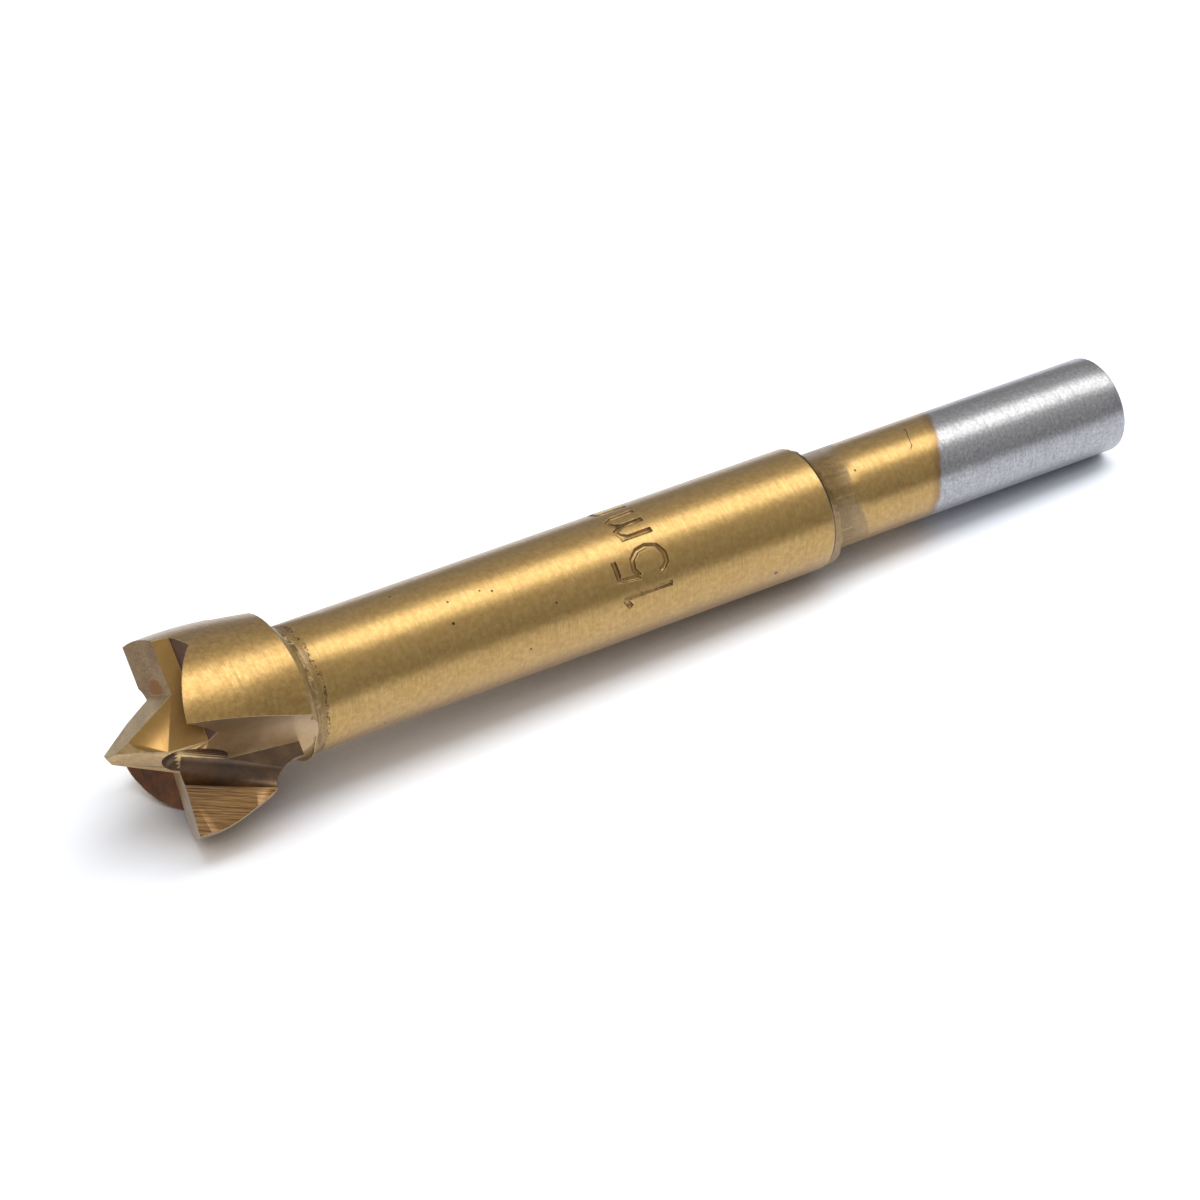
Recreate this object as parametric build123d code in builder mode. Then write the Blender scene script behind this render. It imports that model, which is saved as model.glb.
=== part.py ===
from build123d import *
from math import cos, radians, sin, tan
import os

# Forstner bit, drawn standing on its shank: Z runs up the axis from the shank end to the centre point,
# X runs along the cutting lips and Y points ahead of the first lip. All sizes are in millimetres.

# Turned blank
shank_diameter = 8.0
shank_length = 29.8
shank_end_chamfer = 0.35
shank_end_slant = 3.2
slant_heading = 166.5
body_diameter = 10.0
body_length = 48.0
body_end_chamfer = 0.12
collar_diameter = 9.4
collar_length = 0.45
neck_length = 1.8
neck_depth = 0.06
neck_round_width = 1.0
neck_round_height = 1.1
head_rear_diameter = 13.26
head_length = 9.2
cutting_diameter = 15.2
cutting_runout = 0.32

# Outside of the head behind the cutting circle, each as height, diameter and shift along the lips
head_sections = ((3.2, 14.1, 0.03), (6.1, 15.14, -0.27))

# Cutting lips, each as height where its line meets the axis, outward climb and relief angle
lip_grinds = ((9.2, 0.0, 8.4), (8.85, 5.0, 14.0))
lip_lead = 0.82
rake_angle = 11.6

# Spurs: a pocket behind each lip leaves the spur with an inner bevel,
# given as height on the axis and fall across and along the lips
pocket_wall_lean = 18.0
pocket_root_height = 7.36
pocket_root_offset = 3.65
pocket_floor_fall = 22.5
spur_bevels = ((1.345, 0.105, 1.141), (0.442, 0.05, 1.218))

# Centre point: grinds as height on the axis and fall per millimetre across and along the lips
point_grinds = (
    (14.08, -1.54, 0.54),
    (14.08, -1.54, -0.54),
    (14.97, 2.05, 0.68),
    (15.04, 2.07, -0.54),
    (14.97, -2.05, -0.68),
    (13.92, 0.45, -0.45),
)
point_nick_outer = (-0.19, -1.35, 13.62)
point_nick_upper = (0.24, -1.93, 12.60)
point_nick_lower = (-0.69, -2.12, 12.04)
point_nick_reach = 2.5

# Flutes
flute_heading = 20.0
flute_floor_depth = 4.45
flute_floor_middle = 3.2
flute_floor_radius = 12.0
flute_rise = 0.22
heel_corner = (4.96, 0.30)
heel_middle = (5.35, 2.10)
heel_outer = (6.90, 3.10)
heel_inner = 4.0
heel_ahead = 3.0
heel_behind = (2.0, 5.0)
gullet_radius = 1.5
gullet_front = (2.70, 1.76, 9.3)
gullet_rear = (7.20, 4.15, 0.1)

# Attitude of the bit lying on a flat bench
rest_roll = 46.9
rest_pitch = 2.64

# Sizes that follow from the ones above
shank_radius = shank_diameter / 2
body_radius = body_diameter / 2
neck_radius = body_radius - neck_depth
rear_radius = head_rear_diameter / 2
lip_radius = cutting_diameter / 2
head_base = shank_length + body_length
tool_reach = 16.0
blank_top = 15.0
relief_reach = 3.9
floor_drop = (tool_reach - pocket_root_offset) * tan(radians(pocket_floor_fall))
lobes = 2
lobe_turn = 360 / lobes

head_plane = Plane.XY.offset(head_base)
cut_lean = tan(radians(shank_end_slant))
saw_cut = Plane(
    origin=(0, 0, 0),
    z_dir=(cut_lean * cos(radians(slant_heading)), cut_lean * sin(radians(slant_heading)), 1),
)


def ground_plane(height: float, across: float, along: float) -> Plane:
    """A flat grind on the head, from its height on the axis and its climb across and along the lips."""
    return Plane(origin=(0, 0, head_base + height), z_dir=(-across, -along, 1))


def on_head(point: tuple) -> Vector:
    """A point given from the rear edge of the head, in bit coordinates."""
    return Vector(point[0], point[1], head_base + point[2])


# Blank: shank, collar left standing at the shoulder, body, neck and a head whose cutting circle
# runs out towards the second lip
with BuildPart() as blank:
    with BuildSketch(Plane.XZ):
        with BuildLine():
            Polyline(
                (0, -shank_radius),
                (shank_radius, -shank_radius),
                (shank_radius, shank_length - collar_length),
                (collar_diameter / 2, shank_length - collar_length),
                (collar_diameter / 2, shank_length),
                (body_radius - body_end_chamfer, shank_length),
                (body_radius, shank_length + body_end_chamfer),
                (body_radius, head_base - neck_length),
                (neck_radius, head_base - neck_length + neck_depth),
                (neck_radius, head_base - neck_round_height),
            )
            RadiusArc(
                (neck_radius, head_base - neck_round_height),
                (neck_radius + neck_round_width, head_base - neck_depth),
                -neck_round_height,
            )
            Polyline(
                (neck_radius + neck_round_width, head_base - neck_depth),
                (rear_radius, head_base),
                (0, head_base),
                (0, -shank_radius),
            )
        make_face()
    revolve(axis=Axis.Z)
    split(bisect_by=saw_cut, keep=Keep.TOP)
    chamfer(blank.edges().filter_by(GeomType.ELLIPSE).sort_by(Axis.Z)[0], length=shank_end_chamfer)
    with BuildSketch(head_plane):
        Circle(rear_radius)
    for section_height, section_diameter, section_shift in head_sections:
        with BuildSketch(head_plane.offset(section_height)):
            with Locations((section_shift, 0)):
                Circle(section_diameter / 2)
    with BuildSketch(head_plane.offset(head_length)):
        with Locations((-cutting_runout, 0)):
            Circle(lip_radius)
    loft()
    with BuildSketch(head_plane.offset(head_length)):
        with Locations((-cutting_runout, 0)):
            Circle(lip_radius)
    extrude(amount=blank_top - head_length)

# Centre point: a skewed pyramid, each face ground by itself
point_foot = 7.0
point_rise = 8.0
with BuildPart() as centre_point:
    with BuildSketch(head_plane.offset(point_foot)):
        Rectangle(tool_reach, 2 * tool_reach)
    extrude(amount=point_rise)
    for grind_height, grind_across, grind_along in point_grinds:
        split(bisect_by=ground_plane(grind_height, grind_across, grind_along), keep=Keep.BOTTOM)


def relief_cut(lip_height: float, lip_climb: float, relief_angle: float) -> Part:
    """What the grinding wheel clears behind one lip, up to the foot of the centre point."""
    climb = tan(radians(lip_climb))
    relief = tan(radians(relief_angle))
    with BuildPart() as cut:
        with BuildSketch(head_plane.offset(point_foot)):
            with Locations((tool_reach / 2, 0)):
                Rectangle(tool_reach, 2 * relief_reach)
        extrude(amount=point_rise)
        split(bisect_by=ground_plane(lip_height - relief * lip_lead, climb, relief), keep=Keep.TOP)
    return cut.part


with BuildPart() as reliefs:
    for turn, lip_grind in enumerate(lip_grinds):
        add(relief_cut(*lip_grind), rotation=(0, 0, lobe_turn * turn))
    add(centre_point.part, mode=Mode.SUBTRACT)


# Pocket between lip and spur: a leaning wall and a floor that falls outwards
pocket_top = 9.0
wall_run = pocket_top * tan(radians(pocket_wall_lean))
with BuildPart() as pocket:
    with BuildSketch(Plane.YZ):
        with BuildLine():
            Polyline(
                (-pocket_root_offset, head_base + pocket_root_height),
                (-pocket_root_offset + wall_run, head_base + pocket_root_height + pocket_top),
                (-tool_reach, head_base + pocket_root_height + pocket_top),
                (-tool_reach, head_base + pocket_root_height - floor_drop),
                close=True,
            )
        make_face()
    extrude(amount=tool_reach, both=True)


def pocket_cut(bevel_height: float, bevel_across: float, bevel_along: float) -> Part:
    """What is milled out behind one lip, down to the inner bevel of its spur."""
    with BuildPart() as cut:
        add(pocket.part)
        split(bisect_by=ground_plane(bevel_height, -bevel_across, -bevel_along), keep=Keep.TOP)
    return cut.part


# Facet nicked off the corner of the centre point
nick_plane = Plane(
    origin=on_head(point_nick_outer),
    z_dir=(on_head(point_nick_lower) - on_head(point_nick_outer)).cross(
        on_head(point_nick_upper) - on_head(point_nick_outer)
    ),
)
with BuildPart() as nick_cut:
    with BuildSketch(nick_plane):
        Circle(point_nick_reach)
    extrude(amount=point_nick_reach)

# Flute: a hollow floor that runs out on the neck, stopped by the flat rake face of the lip
flute_start = -3.5
flute_run = 17.0
outward = Vector(cos(radians(flute_heading)), sin(radians(flute_heading)), 0)
floor_plane = Plane(
    origin=on_head((0, 0, flute_start)) + outward * (-flute_rise * flute_start),
    x_dir=outward,
    z_dir=(0, 0, 1),
)
floor_reach = 9.0
floor_edge = flute_floor_depth + flute_floor_radius - (flute_floor_radius**2 - floor_reach**2) ** 0.5
with BuildPart() as flute_floor:
    with BuildSketch(floor_plane):
        with BuildLine():
            ThreePointArc(
                (floor_edge, flute_floor_middle - floor_reach),
                (flute_floor_depth, flute_floor_middle),
                (floor_edge, flute_floor_middle + floor_reach),
            )
            Polyline(
                (floor_edge, flute_floor_middle + floor_reach),
                (tool_reach, flute_floor_middle + floor_reach),
                (tool_reach, flute_floor_middle - floor_reach),
                (floor_edge, flute_floor_middle - floor_reach),
            )
        make_face()
    extrude(amount=flute_run, dir=(-flute_rise * outward.X, -flute_rise * outward.Y, 1))

arm_overlap = 2.0
rake_lean = radians(rake_angle)
rake_plane = Plane(
    origin=on_head((0, lip_lead, head_length)),
    x_dir=(1, 0, 0),
    z_dir=(0, cos(rake_lean), sin(rake_lean)),
)
with BuildPart() as arm:
    with BuildSketch(Plane.XZ):
        with BuildLine():
            Polyline(
                (heel_outer[0], head_base + heel_outer[1]),
                (tool_reach, head_base + heel_outer[1]),
                (tool_reach, head_base + blank_top),
                (-arm_overlap, head_base + blank_top),
                (-arm_overlap, head_base + heel_corner[1]),
                (heel_corner[0], head_base + heel_corner[1]),
            )
            ThreePointArc(
                (heel_corner[0], head_base + heel_corner[1]),
                (heel_middle[0], head_base + heel_middle[1]),
                (heel_outer[0], head_base + heel_outer[1]),
            )
        make_face()
    extrude(amount=tool_reach, both=True)
    split(bisect_by=rake_plane, keep=Keep.BOTTOM)

# Gullet milled along the root of the rake face, with the round end of the cutter towards the point
gullet_run = on_head(gullet_rear) - on_head(gullet_front)
with BuildPart() as gullet:
    with BuildSketch(Plane(origin=on_head(gullet_front), z_dir=gullet_run)):
        Circle(gullet_radius)
    extrude(amount=gullet_run.length)
    with Locations(on_head(gullet_front)):
        Sphere(gullet_radius)

with BuildPart() as flute_cut:
    add(flute_floor.part)
    add(arm.part, mode=Mode.SUBTRACT)
    add(gullet.part)

heel_overrun = 1.0


def heel_cut(behind: float) -> Part:
    """What is ground away round the neck under the heel of one lobe, as far back as its grind reaches."""
    with BuildPart() as cut:
        with BuildSketch(Plane.XZ.offset(-heel_ahead)):
            with BuildLine():
                Polyline(
                    (heel_corner[0], head_base + heel_corner[1]),
                    (heel_inner, head_base + heel_corner[1]),
                    (heel_inner, head_base - heel_overrun),
                    (tool_reach, head_base - heel_overrun),
                    (tool_reach, head_base + heel_outer[1]),
                    (heel_outer[0], head_base + heel_outer[1]),
                )
                ThreePointArc(
                    (heel_outer[0], head_base + heel_outer[1]),
                    (heel_middle[0], head_base + heel_middle[1]),
                    (heel_corner[0], head_base + heel_corner[1]),
                )
            make_face()
        extrude(amount=heel_ahead + behind)
        with Locations((0, 0, head_base)):
            Cylinder(neck_radius, 2 * tool_reach, mode=Mode.SUBTRACT)
    return cut.part


# Ground bit: flutes and pockets are cut half a turn apart, and each lip is relieved by hand
with BuildPart() as ground_bit:
    add(blank.part)
    with PolarLocations(0, lobes):
        add(flute_cut.part, mode=Mode.SUBTRACT)
    for turn, spur_bevel in enumerate(spur_bevels):
        add(pocket_cut(*spur_bevel), rotation=(0, 0, lobe_turn * turn), mode=Mode.SUBTRACT)
    for turn, reach in enumerate(heel_behind):
        add(heel_cut(reach), rotation=(0, 0, lobe_turn * turn), mode=Mode.SUBTRACT)
    add(reliefs.part, mode=Mode.SUBTRACT)
    add(nick_cut.part, mode=Mode.SUBTRACT)

# Laid down: point to the left, shank to the right, head and shank end touching the bench
with BuildPart() as tipped_bit:
    add(ground_bit.part, rotation=(0, rest_pitch - 90, rest_roll))

box = tipped_bit.part.bounding_box()
with BuildPart() as forstner_bit:
    with Locations((-box.center().X, -box.center().Y, -box.min.Z)):
        add(tipped_bit.part)

forstner_bit.part.label = "forstner_bit"

os.makedirs("parts", exist_ok=True)
export_step(forstner_bit.part, "parts/forstner_bit.step")
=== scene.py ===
"""Forstner bit lying on a pale table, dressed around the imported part.

The bit is worked in its own frame, in millimetres: Z runs up the axis from the shank end to the centre
point, X runs along the cutting lips and Y points ahead of the first lip. It is laid down at the end.
"""

import logging
import math
from dataclasses import dataclass, field
from enum import Enum
from typing import Optional, Union

import bmesh
import bpy
from mathutils import Euler, Matrix, Vector, noise


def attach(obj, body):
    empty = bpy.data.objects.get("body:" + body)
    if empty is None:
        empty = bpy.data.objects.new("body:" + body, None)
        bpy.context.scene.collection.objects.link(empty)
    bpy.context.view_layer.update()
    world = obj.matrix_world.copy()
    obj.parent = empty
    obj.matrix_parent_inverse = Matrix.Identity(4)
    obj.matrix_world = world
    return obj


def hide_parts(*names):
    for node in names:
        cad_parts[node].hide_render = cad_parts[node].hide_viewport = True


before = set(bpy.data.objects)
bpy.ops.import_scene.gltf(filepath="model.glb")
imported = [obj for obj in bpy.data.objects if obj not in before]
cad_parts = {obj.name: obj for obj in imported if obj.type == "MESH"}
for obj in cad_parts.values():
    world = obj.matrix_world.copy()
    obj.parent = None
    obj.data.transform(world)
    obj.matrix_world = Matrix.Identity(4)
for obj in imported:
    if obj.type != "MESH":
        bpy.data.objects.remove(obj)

LOG = logging.getLogger("forstner_bit")
NODE = "forstner_bit"
MM = 0.001
Socket = bpy.types.NodeSocket

# Attitude of the lying bit, and the place of the middle of its shank end on the table, in millimetres
REST_ROLL = math.radians(46.9)
REST_PITCH = math.radians(2.64)
SHANK_FOOT = Vector((45.83563, 0.14282, 3.98823))
BIT_TURN = Matrix.Rotation(REST_PITCH - math.pi / 2, 3, "Y") @ Matrix.Rotation(REST_ROLL, 3, "Z")
BIT_TO_ROW = Matrix.Translation(SHANK_FOOT * MM) @ (BIT_TURN * MM).to_4x4()

# Heights along the axis, the radius of the body, and how close two heights of one ring are
HEAD_BASE = 77.8
BODY_END = 76.0
SHOULDER = 29.8
BODY_RADIUS = 5.0
SAME_RING = 1e-4

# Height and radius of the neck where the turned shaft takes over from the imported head
JOIN_HEIGHT = 76.3
NECK_RADIUS = 4.94

# Values between which most of a noise lies
NOISE_SPREAD = (0.3, 0.7)

# Edge wear, drawn lighter with a painted glint: radius in millimetres, cosines of the turn where they start
# and are full, size of their chips in millimetres, noise values between which a chip ends, and least and most
# wear and glint along an edge
EDGE_ROUND = 0.08
EDGE_TURN = (0.985, 0.8)
CHIP_MM = 0.2
CHIP_ENDS = (0.4, 0.6)
LEAST_WEAR_AND_GLINT, MOST_WEAR_AND_GLINT = 0.3, 1.2

# A run of lines that rises more than this is upright
UPRIGHT = 0.9

# How far grinding lines change the roughness each way, and how much rougher the unground bands are
LINE_ROUGHNESS = 0.08
UNGROUND_ROUGHNESS = 0.22

# The coating's clear film
FILM_IOR = 1.6
FILM_ROUGHNESS = 0.3

# A stain's rim, in millimetres beyond its size: outer and inner edge, and how far the grain makes it ragged
STAIN_OUTER, STAIN_INNER = 0.3, 0.12
STAIN_RAGGED = 0.5


def linear(code: str) -> tuple[float, float, float, float]:
    """Turns an sRGB hex colour into Blender's linear colour.

    Args:
        code: Six hex digits.

    Returns:
        Linear red, green and blue, with an alpha of 1.
    """
    channels = [int(code[i : i + 2], 16) / 255 for i in (0, 2, 4)]
    curve = [c / 12.92 if c <= 0.04045 else ((c + 0.055) / 1.055) ** 2.4 for c in channels]
    return (curve[0], curve[1], curve[2], 1.0)


class Graph:
    """The node tree of a material or a world, with one way of adding a node."""

    def __init__(self, owner: Union[bpy.types.Material, bpy.types.World]) -> None:
        """Empties the tree of a new material or world."""
        self.owner = owner
        owner.use_nodes = True
        owner.node_tree.nodes.clear()

    def add(self, kind: str, settings: Optional[dict] = None, **inputs: object) -> bpy.types.Node:
        """Adds a node with its settings and links.

        Args:
            kind: The node's type without the ShaderNode prefix.
            settings: Properties of the node; stops are a ramp's pairs of position and sRGB hex colour.
            inputs: Values, sockets, or nodes for their first output, by input name with spaces as
                underscores; in_0 names the first input.

        Returns:
            The new node.
        """
        node = self.owner.node_tree.nodes.new("ShaderNode" + kind)
        settings = dict(settings or {})
        for step, (position, code) in enumerate(settings.pop("stops", ())):
            elements = node.color_ramp.elements
            element = elements[step] if step < len(elements) else elements.new(position)
            element.position, element.color = position, linear(code)
        for key, value in settings.items():
            setattr(node, key, value)
        for key, value in inputs.items():
            place = int(key[3:]) if key.startswith("in_") else key.replace("_", " ")
            socket = node.inputs[place]
            value = value.outputs[0] if isinstance(value, bpy.types.Node) else value
            if isinstance(value, Socket):
                self.owner.node_tree.links.new(value, socket)
            else:
                socket.default_value = value
        return node


def between(limits: tuple[float, float]) -> dict[str, float]:
    """Names the two limits of a range for a node's inputs."""
    return {"From_Min": limits[0], "From_Max": limits[1]}


def bit_place(graph: Graph) -> Socket:
    """Gives the place of a point in the bit's own frame, in millimetres."""
    mapping = graph.add(
        "Mapping",
        {"vector_type": "TEXTURE"},
        Vector=graph.add("TexCoord").outputs["Object"],
        Location=SHANK_FOOT * MM,
        Rotation=BIT_TURN.to_euler("XYZ"),
        Scale=(MM, MM, MM),
    )
    return mapping.outputs[0]


def lay(graph: Graph, base: Socket, layers: list) -> Socket:
    """Lays colours over a base in order.

    Args:
        graph: The tree to add to.
        base: The colour underneath.
        layers: Pairs of where a layer shows, from 0 to 1, and its colour, colour socket or node.

    Returns:
        The colour with its layers.
    """
    for share, colour in layers:
        base = graph.add("Mix", {"data_type": "RGBA"}, in_0=share, in_6=base, in_7=colour).outputs[2]
    return base


@dataclass(frozen=True)
class GroundCoat:
    """Hard gold-coloured coating on ground tool steel: satin, with grinding lines and uneven colour.

    Attributes:
        name: The finish's name.
        light: Colour of the lighter patches.
        middle: The commonest colour.
        dark: Colour of the darker patches.
        patch_mm: Width of the patches of colour.
        line_mm: Spacing of the grinding lines, drawn coarser than the real 0.02 mm grit so that it shows.
        line_stretch: How many times longer than its spacing a line is.
        line_run: Direction along which the grinding lines run, in the bit's frame.
        turned: Whether the lines run round the axis instead.
        line_share: How far the lines change the colour, from 0 to 1.
        roughness: Roughness between the lines.
        bump_um: Height of the lines in thousandths of a millimetre.
        coat: Weight of the clear film of the coating.
        stains: Place on the bit, size and colour of each stain.
        edge: Colour of the edges, where the coating is thin, lightened further as a painted glint.
        wear_and_glint_share: How far the edges take that colour, from 0 to 1.
        steps: Values of the pattern that take the dark, the middle and the light colour.
    """

    name: str
    light: str
    middle: str
    dark: str
    patch_mm: float = 1.2
    line_mm: float = 0.1
    line_stretch: float = 40.0
    line_run: tuple[float, float, float] = (1.0, 0.0, 0.0)
    turned: bool = False
    line_share: float = 0.5
    roughness: float = 0.34
    bump_um: float = 4.0
    coat: float = 0.9
    stains: tuple = ()
    # Pale edge colour: thin coating where the edges wear, and a painted glint
    edge: str = "f2e3b8"
    wear_and_glint_share: float = 0.8
    steps: tuple[float, float, float] = (0.36, 0.5, 0.64)

    def build(self) -> bpy.types.Material:
        """Builds the material.

        Returns:
            The finished material.
        """
        graph = Graph(bpy.data.materials.new(self.name))
        place = bit_place(graph)
        base, grain = self.pattern(graph, place)
        layers = []
        for *spot, size, code in self.stains:
            far = graph.add("VectorMath", {"operation": "DISTANCE"}, in_0=place, in_1=tuple(spot))
            far = far.outputs["Value"]
            reach = graph.add("Math", {"operation": "MULTIPLY_ADD"}, in_0=grain, in_1=STAIN_RAGGED, in_2=far)
            rim = between((size + STAIN_OUTER, size + STAIN_INNER))
            layers.append((graph.add("MapRange", None, Value=reach, **rim), linear(code)))
        return self.finish(graph, lay(graph, base, layers), grain)

    def pattern(self, graph: Graph, place: Socket) -> tuple[Socket, Socket]:
        """Lays out the patches and the grinding lines.

        Args:
            graph: The tree to add to.
            place: Place on the bit, in millimetres.

        Returns:
            The colour socket and the socket with the height of the lines.
        """
        patch = graph.add("TexNoise", None, Vector=place, Scale=1 / self.patch_mm, Detail=4.0, Roughness=0.6)
        upright = abs(self.line_run[2]) > UPRIGHT
        turn = Vector(self.line_run).to_track_quat("X", "Y" if upright else "Z").to_euler("XYZ")
        reach = self.line_mm * self.line_stretch
        along = graph.add(
            "Mapping",
            {"vector_type": "TEXTURE"},
            Vector=place,
            Rotation=(0, 0, 0) if self.turned else turn,
            Scale=(reach, reach, self.line_mm) if self.turned else (reach, self.line_mm, self.line_mm),
        )
        lines = graph.add("TexNoise", None, Vector=along, Scale=1.0, Detail=3.0, Roughness=0.7)
        shade = graph.add("Mix", {"data_type": "FLOAT"}, in_0=self.line_share, in_2=patch, in_3=lines)
        stops = zip(self.steps, (self.dark, self.middle, self.light))
        ramp = graph.add("ValToRGB", {"stops": stops}, Fac=shade)
        return ramp.outputs["Color"], lines.outputs["Fac"]

    def finish(
        self, graph: Graph, base: Socket, grain: Socket, dull: Optional[bpy.types.Node] = None
    ) -> bpy.types.Material:
        """Adds wear and a painted glint on the edges, grinding relief and the metal shader.

        Args:
            graph: The tree to add to.
            base: The colour.
            grain: The height of the grinding lines.
            dull: Where the surface is duller, from 0 to 1.

        Returns:
            The material.
        """
        rounded = graph.add("Bevel", {"samples": 6}, Radius=EDGE_ROUND * MM)
        relief = graph.add(
            "Bump", None, Strength=1.0, Distance=self.bump_um * 1e-6, Height=grain, Normal=rounded
        )
        limits = {"To_Min": self.roughness + LINE_ROUGHNESS, "To_Max": self.roughness - LINE_ROUGHNESS}
        rough = graph.add("MapRange", None, Value=grain, **between(NOISE_SPREAD), **limits)
        if dull is not None:
            extra = {"in_0": dull, "in_1": UNGROUND_ROUGHNESS, "in_2": rough}
            rough = graph.add("Math", {"operation": "MULTIPLY_ADD"}, **extra)
        shader = graph.add(
            "BsdfPrincipled",
            None,
            Base_Color=lay(graph, base, [(self.wear_and_glint(graph, rounded), linear(self.edge))]),
            Metallic=1.0,
            Roughness=rough,
            Coat_Weight=self.coat,
            Coat_IOR=FILM_IOR,
            Coat_Roughness=FILM_ROUGHNESS,
            Normal=relief,
        )
        graph.add("OutputMaterial", None, Surface=shader)
        return graph.owner

    def wear_and_glint(self, graph: Graph, rounded: bpy.types.Node) -> bpy.types.Node:
        """Finds the edges that take the pale colour of wear and a painted glint, with chips along them.

        Args:
            graph: The tree to add to.
            rounded: Gives the direction that the surface faces with its edges rounded.

        Returns:
            The wear and painted glint, from 0 to 1.
        """
        # Painted glint and wear: the pale edge colour goes where the rounded edge turns away from the flat
        # face
        flat = graph.add("NewGeometry").outputs["Normal"]
        turn = graph.add("VectorMath", {"operation": "DOT_PRODUCT"}, in_0=rounded, in_1=flat)
        turn = turn.outputs["Value"]
        edge = graph.add("MapRange", None, Value=turn, **between(EDGE_TURN), To_Max=self.wear_and_glint_share)
        chips = graph.add(
            "TexNoise", None, Vector=bit_place(graph), Scale=1 / CHIP_MM, Detail=3.0, Roughness=0.7
        )
        limits = {"To_Min": LEAST_WEAR_AND_GLINT, "To_Max": MOST_WEAR_AND_GLINT}
        ragged = graph.add("MapRange", None, Value=chips, **between(CHIP_ENDS), **limits)
        return graph.add("Math", {"operation": "MULTIPLY"}, in_0=edge, in_1=ragged)


class HeadFace(Enum):
    """The ground faces of the head, the shaft and the stamped groove."""

    SHAFT = 0
    BARREL = 1
    RELIEF_A = 2
    RELIEF_B = 3
    POCKET_WALL = 4
    POCKET_FLOOR = 5
    SPUR_BEVEL = 6
    RAKE = 7
    FLUTE = 8
    GULLET = 9
    POINT = 10
    HEEL = 11
    GROOVE = 12
    RAKE_ROOT = 13


@dataclass(frozen=True)
class ShaftGround:
    """What the bands and marks of the shaft are worked out from.

    Attributes:
        graph: The tree to add to.
        place: Place on the bit, in millimetres.
        grain: Height of the grinding lines.
        speckle: Fine speckles.
        ragged: How far any line round the shaft wanders, in millimetres.
    """

    graph: Graph
    place: Socket
    grain: Socket
    speckle: bpy.types.Node
    ragged: bpy.types.Node

    def level(self, lean: tuple[float, float]) -> bpy.types.Node:
        """Gives the height above a ragged line round the shaft that leans by so much per millimetre."""
        rise = self.graph.add("VectorMath", {"operation": "DOT_PRODUCT"}, in_0=self.place, in_1=(*lean, 1.0))
        return self.graph.add("Math", {"operation": "ADD"}, in_0=rise.outputs["Value"], in_1=self.ragged)


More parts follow.
